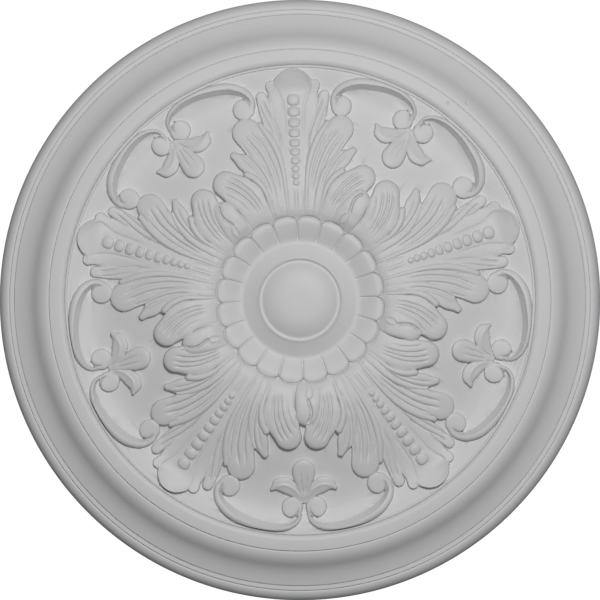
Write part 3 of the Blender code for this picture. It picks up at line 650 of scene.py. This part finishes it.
def carve(mesh, sizes):
    """Moves the flat field's points down to the height of the carved face."""
    places = np.empty(len(mesh.vertices) * 3)
    mesh.vertices.foreach_get("co", places)
    places = places.reshape(-1, 3)
    radius = np.hypot(places[:, 0], places[:, 1])
    turn = np.arctan2(places[:, 0], -places[:, 1])
    places[:, 2] = -face_height(sizes, radius, turn)
    mesh.vertices.foreach_set("co", places.ravel())


def joined(rim, field):
    """Rim and field sewn together along their free edges, as one closed mesh."""
    bm = bmesh.new()
    bm.from_mesh(rim)
    rim_count = len(bm.verts)
    bm.from_mesh(field)
    bmesh.ops.bridge_loops(bm, edges=[edge for edge in bm.edges if edge.is_boundary])
    bmesh.ops.triangulate(bm, faces=bm.faces[:])
    bmesh.ops.recalc_face_normals(bm, faces=bm.faces[:])
    mesh = bpy.data.meshes.new("rose_casting")
    bm.to_mesh(mesh)
    bm.free()
    return mesh, rim_count


def thin_out(rose, rim_count, triangles):
    """Thins the carved field's faces to the wanted count and leaves the turned rim as it is."""
    carved = rose.vertex_groups.new(name="carved")
    carved.add(range(rim_count, len(rose.data.vertices)), 1.0, "REPLACE")
    thin = rose.modifiers.new("Fewer faces", "DECIMATE")
    thin.ratio = triangles / len(rose.data.polygons)
    thin.vertex_group = carved.name
    thin.use_collapse_triangulate = True
    result = bpy.data.meshes.new_from_object(rose.evaluated_get(bpy.context.evaluated_depsgraph_get()))
    rose.modifiers.remove(thin)
    rose.data = result


def linear(hex_colour):
    """Shader colour of an sRGB hex code."""
    channels = [int(hex_colour[i:i + 2], 16) / 255 for i in (0, 2, 4)]
    return [c / 12.92 if c <= 0.04045 else ((c + 0.055) / 1.055) ** 2.4 for c in channels] + [1.0]


def add_node(tree, kind, values=None, links=None, **settings):
    """Adds a node, sets its options and input values, and links its inputs from other nodes' outputs."""
    node = tree.nodes.new(kind)
    for name, value in settings.items():
        setattr(node, name, value)
    for socket, value in (values or {}).items():
        node.inputs[socket].default_value = value
    for socket, source in (links or {}).items():
        tree.links.new(source, node.inputs[socket])
    return node


def primed_polyurethane():
    """Dense polyurethane foam moulding under a sprayed coat of matt off-white factory primer.

    It gives the eye an even, chalky white with a low sheen on its edges, a faint unevenness of the sprayed
    coat, and the slight waviness of a cast skin.
    """
    paint = bpy.data.materials.new("primed_polyurethane")
    paint.use_nodes = True
    tree = paint.node_tree
    shader = tree.nodes["Principled BSDF"]
    shader.inputs["IOR"].default_value = 1.49
    place = add_node(tree, "ShaderNodeTexCoord").outputs["Object"]
    # Sprayed primer lies a little thicker and whiter in patches some 25 mm across
    patches = add_node(tree, "ShaderNodeTexNoise", {"Scale": 40.0, "Detail": 3.0, "Roughness": 0.6},
                       {"Vector": place})
    colour = add_node(tree, "ShaderNodeMix", {"A": linear("D6D6D6"), "B": linear("DADADA")},
                      {"Factor": patches.outputs["Fac"]}, data_type="RGBA")
    tree.links.new(colour.outputs["Result"], shader.inputs["Base Color"])
    sheen = add_node(tree, "ShaderNodeMapRange", {"To Min": 0.50, "To Max": 0.60},
                     {"Value": patches.outputs["Fac"]})
    tree.links.new(sheen.outputs["Result"], shader.inputs["Roughness"])
    # Spray grain about 0.7 mm across over the cast skin's waves of about 12 mm
    grain = add_node(tree, "ShaderNodeTexNoise", {"Scale": 1400.0, "Detail": 2.0}, {"Vector": place})
    waves = add_node(tree, "ShaderNodeTexNoise", {"Scale": 85.0, "Detail": 1.0}, {"Vector": place})
    fine = add_node(tree, "ShaderNodeBump", {"Strength": 0.25, "Distance": 0.00003},
                    {"Height": grain.outputs["Fac"]})
    skin = add_node(tree, "ShaderNodeBump", {"Strength": 0.5, "Distance": 0.0002},
                    {"Height": waves.outputs["Fac"], "Normal": fine.outputs["Normal"]})
    nicked = add_node(tree, "ShaderNodeBump", {"Strength": 1.0, "Distance": NICK_DEPTH},
                      {"Height": nick_height(tree, place), "Normal": skin.outputs["Normal"]})
    tree.links.new(nicked.outputs["Normal"], shader.inputs["Normal"])
    return paint


def nick_height(tree, place):
    """Output that is nought on the sound surface and drops to minus one in the middle of each nick."""
    flat = add_node(tree, "ShaderNodeVectorMath", {1: (1.0, 1.0, 0.0)}, {0: place}, operation="MULTIPLY")
    total = None
    for middle, reach in NICKS:
        gap = add_node(tree, "ShaderNodeVectorMath", {1: middle}, {0: flat.outputs["Vector"]},
                       operation="DISTANCE")
        dent = add_node(tree, "ShaderNodeMapRange", {"From Max": reach, "To Min": -1.0, "To Max": 0.0},
                        {"Value": gap.outputs["Value"]})
        if total:
            dent = add_node(tree, "ShaderNodeMath", links={0: total, 1: dent.outputs[0]}, operation="ADD")
        total = dent.outputs[0]
    return total


def floor_paint():
    """Matt pale studio floor paint, which gives an even light grey with no reflections."""
    paint = bpy.data.materials.new("studio_floor")
    paint.use_nodes = True
    tree = paint.node_tree
    shader = tree.nodes["Principled BSDF"]
    shader.inputs["Roughness"].default_value = 0.8
    place = add_node(tree, "ShaderNodeTexCoord").outputs["Object"]
    patches = add_node(tree, "ShaderNodeTexNoise", {"Scale": 0.4, "Detail": 2.0}, {"Vector": place})
    colour = add_node(tree, "ShaderNodeMix", {"A": linear("D9D9D9"), "B": linear("DDDDDD")},
                      {"Factor": patches.outputs["Fac"]}, data_type="RGBA")
    tree.links.new(colour.outputs["Result"], shader.inputs["Base Color"])
    return paint


def studio_world(settings):
    """Surroundings that are white straight above and dim grey elsewhere."""
    world = bpy.data.worlds.new("studio")
    world.use_nodes = True
    tree = world.node_tree
    place = add_node(tree, "ShaderNodeTexCoord").outputs["Generated"]
    parts = add_node(tree, "ShaderNodeSeparateXYZ", links={"Vector": place})
    ends = {"From Min": GLOW_EDGE, "From Max": GLOW_FULL, "To Min": settings.around,
            "To Max": settings.overhead}
    above = add_node(tree, "ShaderNodeMapRange", ends, {"Value": parts.outputs["Z"]},
                     interpolation_type="SMOOTHSTEP")
    tree.links.new(above.outputs["Result"], tree.nodes["Background"].inputs["Strength"])
    tree.nodes["Background"].inputs["Color"].default_value = linear("FFFFFF")
    bpy.context.scene.world = world


def add_square_light(name, power, size, outwards, distance):
    """A square light that stands outwards from the rose and shines back at it."""
    light = bpy.data.lights.new(name, "AREA")
    light.energy = power
    light.size = size
    lamp = bpy.data.objects.new(name, light)
    bpy.context.scene.collection.objects.link(lamp)
    lamp.location = outwards * distance
    lamp.rotation_mode = "QUATERNION"
    lamp.rotation_quaternion = outwards.to_track_quat("Z", "Y")


def picture_axes(settings):
    """The picture's right and up directions, seen by a camera that looks up at the ceiling."""
    turn = settings.camera_roll
    right = Vector((math.cos(turn), math.sin(turn), 0.0))
    up = Vector((math.sin(turn), -math.cos(turn), 0.0))
    return right, up


def turned_to(right, up, place):
    """World matrix of a camera at a place, with its own right and up directions."""
    turn = Matrix((right, up, right.cross(up))).transposed()
    return Matrix.Translation(place) @ turn.to_4x4()


class RoseBuild(bpy.types.Operator):
    """Build the ceiling rose as one finely carved casting"""
    bl_idname = "ceiling_rose.build_casting"
    bl_label = "Build Rose"

    def execute(self, context):
        sizes = context.scene.rose_sizes
        seam = field_radius(sizes) - SEAM_WIDTH
        line = [(seam * index / sizes.field_rings, 0.0) for index in range(sizes.field_rings, -1, -1)]
        rim = turned("rim", rim_profile(sizes), sizes.rim_steps)
        field = turned("field", line, sizes.field_steps)
        carve(field, sizes)
        mesh, rim_count = joined(rim, field)
        rose = bpy.data.objects.new("rose_casting", mesh)
        context.scene.collection.objects.link(rose)
        thin_out(rose, rim_count, sizes.triangles)
        rose.data.shade_smooth()
        rose.data.set_sharp_from_angle(angle=SHARP_ANGLE)
        rose.data.materials.append(primed_polyurethane())
        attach(rose, "root")
        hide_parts("ceiling_rose")
        return {"FINISHED"}


class StudioBuild(bpy.types.Operator):
    """Set up the floor, the surroundings, the light and the camera"""
    bl_idname = "ceiling_rose.build_studio"
    bl_label = "Build Studio"

    def execute(self, context):
        settings = context.scene.studio_settings
        studio_world(settings)
        middle = (0.0, 0.0, -settings.floor_depth)
        bpy.ops.mesh.primitive_plane_add(size=settings.floor_size, location=middle)
        floor = context.active_object
        floor.name = "studio_floor"
        floor.data.materials.append(floor_paint())
        right, up = picture_axes(settings)
        sideways = right * math.cos(settings.key_turn) + up * math.sin(settings.key_turn)
        outwards = Vector((0.0, 0.0, -math.cos(settings.key_angle)))
        outwards += sideways * math.sin(settings.key_angle)
        add_square_light("key_light", settings.key_power, settings.key_size, outwards,
                         settings.key_distance)
        add_square_light("back_light", settings.back_power, settings.back_size, Vector((0.0, 0.0, 1.0)),
                         settings.back_distance)
        camera = bpy.data.objects.new("camera", bpy.data.cameras.new("camera"))
        context.scene.collection.objects.link(camera)
        camera.data.lens = settings.lens
        camera.matrix_world = turned_to(right, up, Vector((0.0, 0.0, -settings.camera_distance)))
        context.scene.camera = camera
        context.scene.view_settings.view_transform = "Standard"
        return {"FINISHED"}


class RosePanel(bpy.types.Panel):
    """Buttons and sizes of the ceiling rose"""
    bl_idname = "VIEW3D_PT_ceiling_rose"
    bl_label = "Ceiling Rose"
    bl_space_type = "VIEW_3D"
    bl_region_type = "UI"
    bl_category = "Ceiling Rose"

    def draw(self, context):
        for settings, operator in ((context.scene.rose_sizes, RoseBuild),
                                   (context.scene.studio_settings, StudioBuild)):
            self.layout.operator(operator.bl_idname)
            for name in settings.bl_rna.properties.keys():
                if name not in ("rna_type", "name"):
                    self.layout.prop(settings, name)


CLASSES = (RoseSizes, StudioSettings, RoseBuild, StudioBuild, RosePanel)


def register():
    """Makes the sizes, the operators and the panel known to Blender."""
    for item in CLASSES:
        bpy.utils.register_class(item)
    bpy.types.Scene.rose_sizes = PointerProperty(type=RoseSizes)
    bpy.types.Scene.studio_settings = PointerProperty(type=StudioSettings)


def unregister():
    """Takes them all away again."""
    del bpy.types.Scene.studio_settings
    del bpy.types.Scene.rose_sizes
    for item in reversed(CLASSES):
        bpy.utils.unregister_class(item)


def main():
    """Builds the rose and its studio."""
    register()
    bpy.ops.ceiling_rose.build_casting()
    bpy.ops.ceiling_rose.build_studio()


if __name__ == "__main__":
    main()
